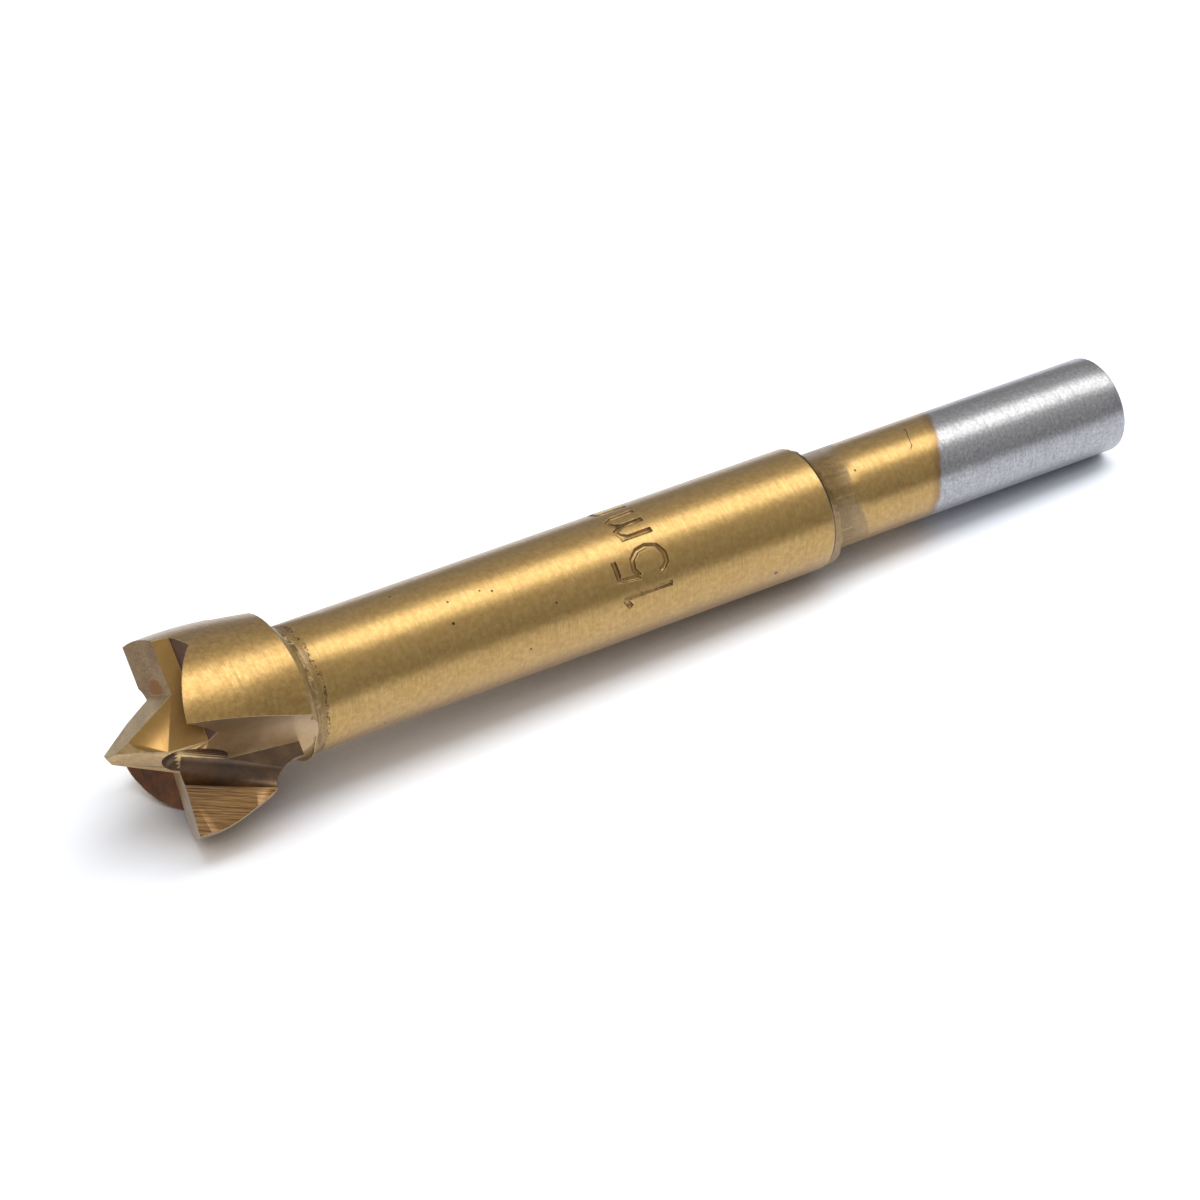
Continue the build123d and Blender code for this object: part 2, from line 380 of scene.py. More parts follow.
@dataclass(frozen=True)
class ShaftCoat(GroundCoat):
    """The shaft's finish: bare ground steel at the end of the shank, then coated, with unground bands.

    A pair of limits says where a layer is gone and where it is full. Heights are on the axis, and a lean is
    the rise per millimetre along the lips and ahead of them.

    Attributes:
        steel: Dark, middle and light colour of the bare steel.
        steel_steps: Values of its pattern that take them.
        steel_edge: Heights that limit it.
        steel_lean: How its edge leans.
        bronze: Colour of the coating's thin edge beside it.
        bronze_edge: Heights that limit that.
        brushed: Share of the grinding lines in the steel's pattern.
        rough_band: Dark, middle and light colour of the bands that the grinder left.
        rough_steps: Values of their pattern that take them.
        band_edge: Heights that limit the shank's band.
        band_lean: How its edge leans.
        band_radii: Radii that limit it, so that the collar stays clear of it.
        neck_edge: Heights that limit the neck's band.
        scar_and_shade: Colour of the painted shade line under the shoulder, and of the crack and the torn
            places.
        shoulder_shade: Height of the painted shade line under the shoulder and half its width.
        shoulder_shade_radii: Radii that limit it.
        crack: Height of the crack in the shank's coating and half its width.
        crack_side: Direction of the side that it is on.
        crack_ends: Distances that way that limit it.
        torn_run: Height of the torn places at the neck and half the width of their run.
        torn_depths: Speckle values that limit them.
        speckle_mm: Size of the speckles.
        wander_per_mm: Fineness of the raggedness of the lines round the shaft.
        wander_mm: Greatest raggedness.
        pit: Colour of the pits.
        pits: Angle, height, radius on the shaft and size of each pit.
    """

    steel: tuple[str, str, str] = ("8f8e91", "acabae", "c8c7ca")
    steel_steps: tuple[float, float, float] = (0.38, 0.5, 0.62)
    steel_edge: tuple[float, float] = (17.47, 17.11)
    steel_lean: tuple[float, float] = (0.335, 0.231)
    bronze: str = "9a7440"
    bronze_edge: tuple[float, float] = (18.24, 17.39)
    brushed: float = 0.32
    rough_band: tuple[str, str, str] = ("8f6f3c", "a98950", "bc9c62")
    rough_steps: tuple[float, float, float] = (0.3, 0.5, 0.7)
    band_edge: tuple[float, float] = (24.78, 24.98)
    band_lean: tuple[float, float] = (-0.013, 0.467)
    band_radii: tuple[float, float] = (4.25, 4.15)
    neck_edge: tuple[float, float] = (75.8, 75.9)
    # Dark colour of the crack and the torn places, which also paints the shade line under the shoulder
    scar_and_shade: str = "4a3520"
    # Painted shade: the dark line under the shoulder, where the collar meets the body
    shoulder_shade: tuple[float, float] = (29.77, 0.08)
    shoulder_shade_radii: tuple[float, float] = (4.96, 4.93)
    crack: tuple[float, float] = (19.89, 0.05)
    crack_side: tuple[float, float, float] = (0.54, -0.84, 0.0)
    crack_ends: tuple[float, float] = (3.82, 3.88)
    torn_run: tuple[float, float] = (75.74, 0.15)
    torn_depths: tuple[float, float] = (0.49, 0.56)
    speckle_mm: float = 0.25
    wander_per_mm: float = 0.9
    wander_mm: float = 0.2
    pit: str = "1c140c"
    pits: tuple = (
        (-149.0, 35.33, 5.0, 0.2),
        (-39.0, 67.2, 5.0, 0.13),
        (-87.0, 64.0, 5.0, 0.17),
        (-67.0, 63.6, 5.0, 0.13),
        (-67.0, 60.8, 5.0, 0.12),
        (-71.0, 59.9, 5.0, 0.14),
        (-161.0, 70.65, 5.0, 0.14),
        (-100.0, 55.3, 5.0, 0.12),
        (-133.0, 58.1, 5.0, 0.12),
        (-74.0, 25.96, 4.0, 0.14),
    )

    def build(self) -> bpy.types.Material:
        """Builds the material with its bands along the axis.

        Returns:
            The finished material.
        """
        graph = Graph(bpy.data.materials.new(self.name))
        place = bit_place(graph)
        base, grain = self.pattern(graph, place)
        wander = graph.add(
            "TexNoise", None, Vector=place, Scale=self.wander_per_mm, Detail=6.0, Roughness=0.65
        )
        limits = {"To_Min": -self.wander_mm, "To_Max": self.wander_mm}
        ragged = graph.add("MapRange", None, Value=wander, **between(NOISE_SPREAD), **limits)
        speckle = graph.add(
            "TexNoise", None, Vector=place, Scale=1 / self.speckle_mm, Detail=6.0, Roughness=0.75
        )
        ground = ShaftGround(graph, place, grain, speckle, ragged)
        bands, dull = self.unground(ground)
        layers = self.pitted(ground) + self.bared(ground) + bands + [self.cracked(ground), self.torn(ground)]
        return self.finish(graph, lay(graph, base, layers), grain, dull)

    def pitted(self, ground: ShaftGround) -> list:
        """Places the dark pits.

        Args:
            ground: What they are worked out from.

        Returns:
            One layer for each pit.
        """
        layers, add = [], ground.graph.add
        for turn, height, radius, size in self.pits:
            angle = math.radians(turn)
            spot = (radius * math.cos(angle), radius * math.sin(angle), height)
            far = add("VectorMath", {"operation": "DISTANCE"}, in_0=ground.place, in_1=spot).outputs["Value"]
            hole = add("MapRange", None, Value=far, **between((size, size / 2)))
            layers.append((hole, linear(self.pit)))
        return layers

    def bared(self, ground: ShaftGround) -> list:
        """Bares the steel at the end of the shank, with a bronze edge to the coating.

        Args:
            ground: What they are worked out from.

        Returns:
            The two layers.
        """
        add, level = ground.graph.add, ground.level(self.steel_lean)
        tint = add("MapRange", None, Value=level, **between(self.bronze_edge))
        bare = add("MapRange", None, Value=level, **between(self.steel_edge))
        shares = {"in_0": self.brushed, "in_2": ground.speckle, "in_3": ground.grain}
        shade = add("Mix", {"data_type": "FLOAT"}, **shares)
        steel = add("ValToRGB", {"stops": zip(self.steel_steps, self.steel)}, Fac=shade)
        return [(tint, linear(self.bronze)), (bare, steel)]

    def unground(self, ground: ShaftGround) -> tuple[list, bpy.types.Node]:
        """Adds the painted shade line under the shoulder and the bands of shank and neck that the grinder
        left.

        Args:
            ground: What they are worked out from.

        Returns:
            The three layers, and where the surface is duller.
        """
        add, (middle, reach) = ground.graph.add, self.shoulder_shade
        height = add("SeparateXYZ", None, in_0=ground.place).outputs["Z"]
        flat = add("VectorMath", {"operation": "MULTIPLY"}, in_0=ground.place, in_1=(1, 1, 0))
        radius = add("VectorMath", {"operation": "LENGTH"}, in_0=flat).outputs["Value"]
        # Painted shade: a dark line where the collar meets the body's shoulder
        joint = add("Math", {"operation": "COMPARE"}, in_0=height, in_1=middle, in_2=reach)
        under = add("MapRange", None, Value=radius, **between(self.shoulder_shade_radii))
        shoulder_shade = add("Math", {"operation": "MULTIPLY"}, in_0=joint, in_1=under)
        band = add("MapRange", None, Value=ground.level(self.band_lean), **between(self.band_edge))
        clear = add("MapRange", None, Value=radius, **between(self.band_radii))
        shank = add("Math", {"operation": "MULTIPLY"}, in_0=band, in_1=clear)
        neck = add("MapRange", None, Value=height, **between(self.neck_edge))
        rough = add("ValToRGB", {"stops": zip(self.rough_steps, self.rough_band)}, Fac=ground.speckle)
        dull = add("Math", {"operation": "MAXIMUM"}, in_0=shank, in_1=neck)
        return [(shoulder_shade, linear(self.scar_and_shade)), (shank, rough), (neck, rough)], dull

    def cracked(self, ground: ShaftGround) -> tuple:
        """Adds the dark crack that runs part of the way round the shank.

        Args:
            ground: What it is worked out from.

        Returns:
            Its layer.
        """
        add, (middle, reach) = ground.graph.add, self.crack
        level = ground.level(self.steel_lean)
        ring = add("Math", {"operation": "COMPARE"}, in_0=level, in_1=middle, in_2=reach)
        side = add("VectorMath", {"operation": "DOT_PRODUCT"}, in_0=ground.place, in_1=self.crack_side)
        part = add("MapRange", None, Value=side.outputs["Value"], **between(self.crack_ends))
        return add("Math", {"operation": "MULTIPLY"}, in_0=ring, in_1=part), linear(self.scar_and_shade)

    def torn(self, ground: ShaftGround) -> tuple:
        """Adds the broken run of torn places where the body meets the neck.

        Args:
            ground: What they are worked out from.

        Returns:
            Their layer.
        """
        add, (middle, reach) = ground.graph.add, self.torn_run
        level = ground.level((0.0, 0.0))
        near = add("Math", {"operation": "COMPARE"}, in_0=level, in_1=middle, in_2=reach)
        deep = add("MapRange", None, Value=ground.speckle, **between(self.torn_depths))
        return add("Math", {"operation": "MULTIPLY"}, in_0=near, in_1=deep), linear(self.scar_and_shade)


@dataclass
class Finishes:
    """All finishes of the bit.

    Attributes:
        made: The material of each face.
    """

    made: dict = field(default_factory=dict)

    def build(self) -> "Finishes":
        """Builds every finish once.

        Returns:
            This object.
        """
        coats = {
            # Gold hard coat over fine turning: satin, pale gold, with faint rings
            HeadFace.SHAFT: ShaftCoat(
                "turned_gold_coat", "cba662", "be9750", "b08942",
                patch_mm=0.4, line_mm=0.08, line_share=0.4, turned=True,
            ),
            # The same over cylinder grinding: even and a little deeper in colour
            HeadFace.BARREL: GroundCoat(
                "barrel_gold_coat", "c9a35d", "ba924a", "a9803e",
                patch_mm=0.4, line_share=0.3, turned=True,
            ),
            # Coating burnt by grinding: dull brown without the film's gloss, with a copper-coloured stain
            HeadFace.RELIEF_A: GroundCoat(
                "relief_a_coat", "927958", "83694b", "70573e",
                patch_mm=1.5, line_mm=0.06, line_run=(0, 1, 0), coat=0.0,
                stains=((3.26, -1.48, 86.66, 0.85, "7d5228"),),
            ),
            # Thin coating on a ground relief: pale, sandy and lined across
            HeadFace.RELIEF_B: GroundCoat(
                "relief_b_coat", "cdb594", "b59e80", "9b866c",
                line_mm=0.06, line_run=(0, 1, 0),
            ),
            # Coating on a milled wall: broad, calm patches of old gold
            HeadFace.POCKET_WALL: GroundCoat(
                "pocket_wall_coat", "bd8f47", "b0843c", "a07633",
                patch_mm=2.5, line_mm=0.06, line_share=0.3,
            ),
            # Coating in a milled corner, with a painted reflection of the dark wall beside it: deep brown
            HeadFace.POCKET_FLOOR: GroundCoat("pocket_floor_coat_painted_reflection", "7f5226", "643d19", "48290f"),
            # Coating on the ground inner bevel of a spur: copper brown with close lines
            HeadFace.SPUR_BEVEL: GroundCoat(
                "spur_bevel_coat", "8a5425", "724118", "4e2b0e",
                line_mm=0.07,
            ),
            # Coating on a coarsely ground face: bright and dark streaks along the grinding, half glossy
            HeadFace.RAKE: GroundCoat(
                "rake_coat", "cf9f60", "a5783f", "5f4122",
                line_share=0.95, line_run=(0.40, 0.18, 0.90), bump_um=1.0, roughness=0.46,
            ),
            # Coating on the hollow floor, ground along the bit: soft, pale and quiet
            HeadFace.FLUTE: GroundCoat(
                "flute_coat", "ccad7d", "bd9b6a", "a98657",
                patch_mm=3.0, line_share=0.3, line_run=(0, 0, 1), bump_um=2.0, wear_and_glint_share=0.5,
            ),
            # Coating in the narrow gullet, with the groove's shade painted in: dark olive brown without
            # bright edges
            HeadFace.GULLET: GroundCoat(
                "gullet_coat_painted_shade", "80603f", "67492b", "4b341d",
                patch_mm=3.0, line_share=0.2, line_run=(0, 0, 1), wear_and_glint_share=0.0,
            ),
            # Coating on the fine grinds of the centre point: the palest and brightest gold
            HeadFace.POINT: GroundCoat(
                "point_coat", "e7c58d", "d0ac70", "af8c53",
                line_run=(1, 0, 0.4),
            ),
            # Coating on the heels, ground away freely: bronze
            HeadFace.HEEL: GroundCoat("heel_coat", "ae7738", "94622a", "73491d"),
            # Coating between gullet and flute, in the rake face's shade: brown without bright edges
            HeadFace.RAKE_ROOT: GroundCoat(
                "rake_root_coat", "86643c", "6f5131", "5a4026",
                patch_mm=2.0, line_share=0.2, line_run=(0, 0, 1), wear_and_glint_share=0.0,
            ),
            # Coating in the pressed strokes of the size mark: a shade darker than the body round it
            HeadFace.GROOVE: GroundCoat("stamped_groove", "c39d55", "a6803e", "7d5c2b"),
        }
        self.made = {face: coat.build() for face, coat in coats.items()}
        return self


def deselect() -> None:
    """Clears the selection."""
    bpy.ops.object.select_all(action="DESELECT")


def activate(piece: bpy.types.Object) -> None:
    """Selects one object alone and makes it active."""
    deselect()
    piece.select_set(True)
    bpy.context.view_layer.objects.active = piece


@dataclass
class TurnedShaft:
    """Shank, shoulder collar and body, turned from one bar, in millimetres along the axis.

    Attributes:
        segments: Sides of each ring.
        mark_start: Height where the closer rings under the size mark start.
        mark_end: Height where they end.
        mark_step: Distance between them.
        shank_radius: Radius of the shank.
        body_radius: Radius of the body.
        neck_radius: Radius of the neck, where the head takes over.
        join_height: Height where the shaft meets the head.
        end_slant: Slant of the sawn shank end, in degrees.
        slant_heading: Direction towards which that end leans, in degrees.
        end_chamfer: Chamfer of the shank end.
        collar_radius: Radius of the collar left at the shoulder.
        collar_start: Height where the collar starts.
        collar_slant: Slant of the collar's lower face, in degrees.
        collar_ragged: How far the collar's lower edge wanders.
        collar_ripples: Fineness and share of the waves of that edge.
        outer_wander: How many times further the outer edge wanders than the inner one.
        collar_waver: Share by which the collar's radius wanders, and the fineness of that.
        shoulder_round: Chamfer of the shoulder.
        neck_step: Length over which the body falls to the neck, and of the gap left for the bridge.
        plain_step: Greatest distance between the rings elsewhere.
        sawn_off: Length turned beyond the shank end, which the saw takes off.
        end_steps: Facets across the shank end's chamfer.
    """

    segments: int = 192
    mark_start: float = 44.4
    mark_end: float = 50.4
    mark_step: float = 0.25
    shank_radius: float = 4.0
    body_radius: float = BODY_RADIUS
    neck_radius: float = NECK_RADIUS
    join_height: float = JOIN_HEIGHT
    end_slant: float = 3.2
    slant_heading: float = 166.5
    end_chamfer: float = 0.35
    collar_radius: float = 4.88
    collar_start: float = 29.25
    collar_slant: float = 4.5
    collar_ragged: float = 0.1
    collar_ripples: tuple = ((1.3, 1.0), (4.1, 0.6))
    outer_wander: float = 2.0
    collar_waver: tuple[float, float] = (0.008, 2.7)
    shoulder_round: float = 0.12
    neck_step: float = 0.06
    plain_step: float = 4.0
    sawn_off: float = 1.0
    end_steps: int = 3

    def profile(self) -> list[tuple[float, float]]:
        """Lists the rings.

        Returns:
            Height and radius of each ring, from the shank end up.
        """
        foot, body_start = -self.sawn_off, SHOULDER + self.shoulder_round
        rings = [(foot, self.shank_radius)]
        rings += self.run(foot, self.collar_start, self.shank_radius, self.plain_step)
        rings += [(self.collar_start, self.collar_radius), (SHOULDER, self.collar_radius)]
        rings += [(SHOULDER, self.body_radius - self.shoulder_round), (body_start, self.body_radius)]
        rings += self.run(body_start, self.mark_start, self.body_radius, self.plain_step)
        rings += self.run(self.mark_start, self.mark_end, self.body_radius, self.mark_step)
        rings += self.run(self.mark_end, BODY_END, self.body_radius, self.plain_step)
        neck = (BODY_END + self.neck_step, self.join_height - self.neck_step)
        return rings + [(height, self.neck_radius) for height in neck]

    @staticmethod
    def run(low: float, high: float, radius: float, step_length: float) -> list[tuple[float, float]]:
        """Lists the rings of one plain run, without its first."""
        count = math.ceil((high - low) / step_length)
        return [(low + (high - low) * step / count, radius) for step in range(1, count + 1)]

    def build(self) -> bpy.types.Object:
        """Turns the shaft, open at the end that meets the head.

        Returns:
            The shaft in the bit's frame.
        """
        rings = self.profile()
        bpy.ops.mesh.primitive_circle_add(
            vertices=self.segments, radius=self.shank_radius, location=(0, 0, rings[0][0])
        )
        shaft = bpy.context.active_object
        shaft.name = "ground_bit"
        bpy.ops.object.transform_apply(location=True)
        bpy.ops.object.mode_set(mode="EDIT")
        bpy.ops.mesh.select_all(action="SELECT")
        for (low, thin), (high, wide) in zip(rings, rings[1:]):
            bpy.ops.mesh.extrude_edges_move(TRANSFORM_OT_translate={"value": (0, 0, high - low)})
            if wide != thin:
                grow = wide / thin
                bpy.ops.transform.resize(value=(grow, grow, 1), center_override=(0, 0, high))
        self.saw_end()
        bpy.ops.object.mode_set(mode="OBJECT")
        self.lean_collar(shaft)
        LOG.info("turned %s: %d faces", shaft.name, len(shaft.data.polygons))
        return shaft

    def saw_end(self) -> None:
        """Cuts the shank end on its slant and chamfers it."""
        lean = math.tan(math.radians(self.end_slant))
        heading = math.radians(self.slant_heading)
        bpy.ops.mesh.select_all(action="SELECT")
        bpy.ops.mesh.bisect(
            plane_co=(0, 0, 0),
            plane_no=(lean * math.cos(heading), lean * math.sin(heading), 1),
            use_fill=True,
            clear_inner=True,
        )
        bpy.ops.mesh.bevel(offset=self.end_chamfer, segments=self.end_steps, affect="EDGES")

    def lean_collar(self, shaft: bpy.types.Object) -> None:
        """Leans the lower face of the collar and makes its edge ragged.

        Args:
            shaft: The turned shaft.
        """
        lean = math.tan(math.radians(self.collar_slant))
        heading = math.radians(self.slant_heading)
        toward = Vector((math.cos(heading), math.sin(heading), 0))
        waver, fineness = self.collar_waver
        for vertex in shaft.data.vertices:
            if abs(vertex.co.z - self.collar_start) < SAME_RING:
                outer = vertex.co.xy.length > (self.shank_radius + self.collar_radius) / 2
                ragged = sum(share * noise.noise(vertex.co * fine) for fine, share in self.collar_ripples)
                wander = self.collar_ragged * ragged * (self.outer_wander if outer else 1)
                vertex.co.z -= lean * vertex.co.dot(toward) - wander
                if outer:
                    vertex.co.xy *= 1 + waver * noise.noise(vertex.co * fineness)


@dataclass
class GroundHead:
    """The head with its flutes, lips, spurs and point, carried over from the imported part.

    Attributes:
        join_height: Height of the neck where the shaft takes over.
        neck_radius: Radius of the neck there.
        merge: Distance within which loose corners are merged.
    """

    join_height: float = JOIN_HEIGHT
    neck_radius: float = NECK_RADIUS
    merge: float = 0.002

    def build(self) -> bpy.types.Object:
        """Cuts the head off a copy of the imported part.

        Returns:
            The head in the bit's frame, open at the neck.
        """
        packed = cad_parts[NODE]
        head = bpy.data.objects.new("head", packed.data.copy())
        bpy.context.scene.collection.objects.link(head)
        head.data.transform(BIT_TO_ROW.inverted())
        head.data.materials.clear()
        activate(head)
        bpy.ops.object.mode_set(mode="EDIT")
        bpy.ops.mesh.select_all(action="SELECT")
        bpy.ops.mesh.remove_doubles(threshold=self.merge)
        bpy.ops.mesh.bisect(plane_co=(0, 0, self.join_height), plane_no=(0, 0, 1), clear_inner=True)
        bpy.ops.object.mode_set(mode="OBJECT")
        for vertex in head.data.vertices:
            if abs(vertex.co.z - self.join_height) < SAME_RING:
                vertex.co.xy = vertex.co.xy.normalized() * self.neck_radius
        LOG.info("carried over the head: %d faces", len(head.data.polygons))
        return head


@dataclass
class FaceFinder:
    """Tells which ground face of the head a facet belongs to, by its normal and place.

    Attributes:
        flute_heading: Direction that the flute floor faces, in degrees.
        flute_depth: Distance of the flute floor from the axis at the rear of the head.
        flute_middle: How far ahead the lowest line of the flute floor lies.
        flute_radius: Radius of the flute floor.
        flute_rise: How far the flute floor falls towards the axis, per millimetre of height.
        gullet_front: Front end of the gullet's centre line.
        gullet_rear: Rear end of the gullet's centre line.
        gullet_radius: Radius of the gullet.
        close: How near to a surface a facet's corners lie when it is part of it.
        barrel_close: The same for the outside of the head.
        barrel_rings: Height, radius and shift along the lips of the rings that shape the outside of the head.
        barrel_probe: Rise over which the flare of the outside is worked out.
        relief_facings: Direction that each lobe's relief faces, from that lobe.
        flat_facings: Directions that the other flat faces of a lobe face, and the faces.
        rake_facing: Direction that the rake face faces.
        facing_limit: How many degrees a facet's normal may be off such a direction.
        rake_limit: The same for the rake face.
        rise_start: Height, from the head's rear, below which all is shaft.
        rear_height: Height below which a facet inside the next radius is still the neck's rounded rise.
        rear_radius: Radius of the rear edge.
        point_start: Height where the centre point's grinds start.
        point_rise: Least share of their normals along the axis.
        point_reach: Greatest distance of the point from the axis.
        turned_close: How near to the body's radius a corner of the turned body lies.
        shoulder_clear: Height above the shoulder from which the body is plain.
    """

    flute_heading: float = 20.0
    flute_depth: float = 4.45
    flute_middle: float = 3.2
    flute_radius: float = 12.0
    flute_rise: float = 0.22
    gullet_front: tuple[float, float, float] = (2.70, 1.76, 9.3)
    gullet_rear: tuple[float, float, float] = (7.20, 4.15, 0.1)
    gullet_radius: float = 1.5
    close: float = 0.02
    barrel_close: float = 0.06
    barrel_rings: tuple = ((0.0, 6.63, 0.0), (3.2, 7.05, 0.03), (6.1, 7.57, -0.27), (9.2, 7.6, -0.32))
    barrel_probe: float = 0.1
    relief_facings: tuple = ((0.0, -0.1477, 1.0), (-0.0875, -0.2493, 1.0))
    flat_facings: tuple = (
        ((0.0, -0.951, 0.309), HeadFace.POCKET_WALL),
        ((0.0, -0.383, 0.924), HeadFace.POCKET_FLOOR),
        ((0.069, 0.750, 0.657), HeadFace.SPUR_BEVEL),
        ((0.032, 0.772, 0.634), HeadFace.SPUR_BEVEL),
    )
    rake_facing: tuple[float, float, float] = (0.0, 0.980, 0.201)
    facing_limit: float = 2.0
    rake_limit: float = 1.0
    rise_start: float = -1.9
    rear_height: float = 0.03
    rear_radius: float = 6.64
    point_start: float = 7.5
    point_rise: float = 0.2
    point_reach: float = 5.0
    turned_close: float = 0.004
    shoulder_clear: float = 0.1

    def find(self, centre: Vector, normal: Vector, corners: list[Vector]) -> HeadFace:
        """Names the face that a facet is part of.

        Args:
            centre: Middle of the facet, in the bit's frame.
            normal: Its outward normal.
            corners: Its corners.

        Returns:
            The face.
        """
        height = centre.z - HEAD_BASE
        if height < self.rise_start:
            return HeadFace.SHAFT
        for side in (1, -1):
            flip = Vector((side, side, 1))
            local = normal * flip
            places = [(corner - Vector((0, 0, HEAD_BASE))) * flip for corner in corners]
            face = self.lobe_face(local, places, side)
            if face is not None:
                return face
        if height < self.rear_height and centre.xy.length < self.rear_radius:
            return HeadFace.SHAFT
        if all(self.off_barrel(corner) < self.barrel_close for corner in corners):
            return HeadFace.BARREL
        return HeadFace.HEEL

    def barrel_ring(self, height: float) -> tuple[float, float]:
        """Gives the size of the outside of the head at a height, on one smooth curve through its rings.

        Args:
            height: Height above the rear of the head.

        Returns:
            Its radius and its shift along the lips.
        """
        at = min(height, self.barrel_rings[-1][0])
        ring = [0.0, 0.0]
        for place, *sizes in self.barrel_rings:
            weight = 1.0
            for other, *_ in self.barrel_rings:
                weight *= 1.0 if other == place else (at - other) / (place - other)
            ring = [total + weight * size for total, size in zip(ring, sizes)]
        return ring[0], ring[1]

    def off_barrel(self, place: Vector) -> float:
        """Gives the distance from a place on the bit to the outside of the head."""
        radius, shift = self.barrel_ring(place.z - HEAD_BASE)
        return abs(math.hypot(place.x - shift, place.y) - radius)

    def barrel_normal(self, place: Vector) -> Vector:
        """Gives the direction that the outside of the head faces.

        Args:
            place: Place in the bit's frame.

        Returns:
            The direction.
        """
        height = place.z - HEAD_BASE
        radius, shift = self.barrel_ring(height)
        wider, further = self.barrel_ring(height + self.barrel_probe)
        out = Vector((place.x - shift, place.y, 0)).normalized()
        out.z = -((wider - radius) + (further - shift) * out.x) / self.barrel_probe
        return out.normalized()

    def to_flute(self, place: Vector) -> tuple[float, float]:
        """Gives the way from a place of a lobe to the axis of its flute's round floor.

        Args:
            place: Place in the lobe's directions, with height from the rear of the head.

        Returns:
            How far the way leads along the flute's heading, and how far ahead across it.
        """
        heading = math.radians(self.flute_heading)
        out = place.x * math.cos(heading) + place.y * math.sin(heading)
        ahead = place.y * math.cos(heading) - place.x * math.sin(heading)
        centre = self.flute_depth - self.flute_rise * place.z + self.flute_radius
        return centre - out, self.flute_middle - ahead

    def off_flute(self, place: Vector) -> float:
        """Gives the distance from a place of a lobe to the hollow floor of its flute."""
        return abs(math.hypot(*self.to_flute(place)) - self.flute_radius)

    def flute_normal(self, place: Vector) -> Vector:
        """Gives the direction that the floor of a lobe's flute faces.

        Args:
            place: Place in the lobe's directions, with height from the rear of the head.

        Returns:
            The direction.
        """
        out, ahead = self.to_flute(place)
        turn = Matrix.Rotation(math.radians(self.flute_heading), 3, "Z")
        return (turn @ Vector((out, ahead, self.flute_rise * out))).normalized()

    def to_gullet(self, place: Vector) -> Vector:
        """Gives the shortest way from a place of a lobe to the centre line of its gullet.

        Args:
            place: Place in the lobe's directions, with height from the rear of the head.

        Returns:
            The way.
        """
        front = Vector(self.gullet_front)
        run = (Vector(self.gullet_rear) - front).normalized()
        along = max(0.0, (place - front).dot(run))
        return front + run * along - place

    def off_gullet(self, place: Vector) -> float:
        """Gives the distance from a place of a lobe to the round gullet along the root of its rake face."""
        return abs(self.to_gullet(place).length - self.gullet_radius)

    def gullet_normal(self, place: Vector) -> Vector:
        """Gives the direction that the wall of a lobe's gullet faces at a place."""
        return self.to_gullet(place).normalized()

    def true_normal(self, face: HeadFace, place: Vector) -> Vector:
        """Gives the exact direction that a rounded face has at a corner, so that it shades smoothly.

        Args:
            face: The face that the corner is part of.
            place: The corner, in the bit's frame.

        Returns:
            The direction, or none at all where the mesh's own serves.
        """
        if face is HeadFace.BARREL:
            return self.barrel_normal(place)
        plain = SHOULDER + self.shoulder_clear < place.z < BODY_END
        if face is HeadFace.SHAFT and plain and abs(place.xy.length - BODY_RADIUS) < self.turned_close:
            return Vector((place.x, place.y, 0)).normalized()
        rounded = {
            HeadFace.FLUTE: (self.off_flute, self.flute_normal),
            HeadFace.GULLET: (self.off_gullet, self.gullet_normal),
        }
        if face not in rounded:
            return Vector()
        off, facing = rounded[face]
        flips = [Vector((side, side, 1)) for side in (1, -1)]
        raised = place - Vector((0, 0, HEAD_BASE))
        flip = min(flips, key=lambda turn: off(raised * turn))
        return facing(raised * flip) * flip

    def lobe_face(self, normal: Vector, places: list[Vector], side: int) -> Optional[HeadFace]:
        """Names a face of one lobe, seen in that lobe's own directions.

        Args:
            normal: Normal in the lobe's directions.
            places: Corners in the lobe's directions, with height from the rear of the head.
            side: 1 for the first lobe and -1 for the second.

        Returns:
            The face, or None where it is none of this lobe's.
        """
        relief_a, relief_b = self.relief_facings
        relief = (relief_a, HeadFace.RELIEF_A) if side == 1 else (relief_b, HeadFace.RELIEF_B)
        for facing, face in (relief, *self.flat_facings):
            if normal.angle(Vector(facing)) < math.radians(self.facing_limit):
                return face
        middle = sum(places, Vector()) / len(places)
        if normal.angle(Vector(self.rake_facing)) < math.radians(self.rake_limit):
            inner = self.gullet_line(middle.z).x > middle.x
            return HeadFace.RAKE_ROOT if inner else HeadFace.RAKE
        if all(self.off_gullet(place) < self.close for place in places):
            return HeadFace.GULLET
        raised = middle.z > self.point_start and normal.z > self.point_rise
        if raised and middle.xy.length < self.point_reach:
            return HeadFace.POINT
        return HeadFace.FLUTE if all(self.off_flute(place) < self.close for place in places) else None

    def gullet_line(self, height: float) -> Vector:
        """Gives the point of the gullet's centre line at a height."""
        front, rear = Vector(self.gullet_front), Vector(self.gullet_rear)
        return front.lerp(rear, (height - front.z) / (rear.z - front.z))


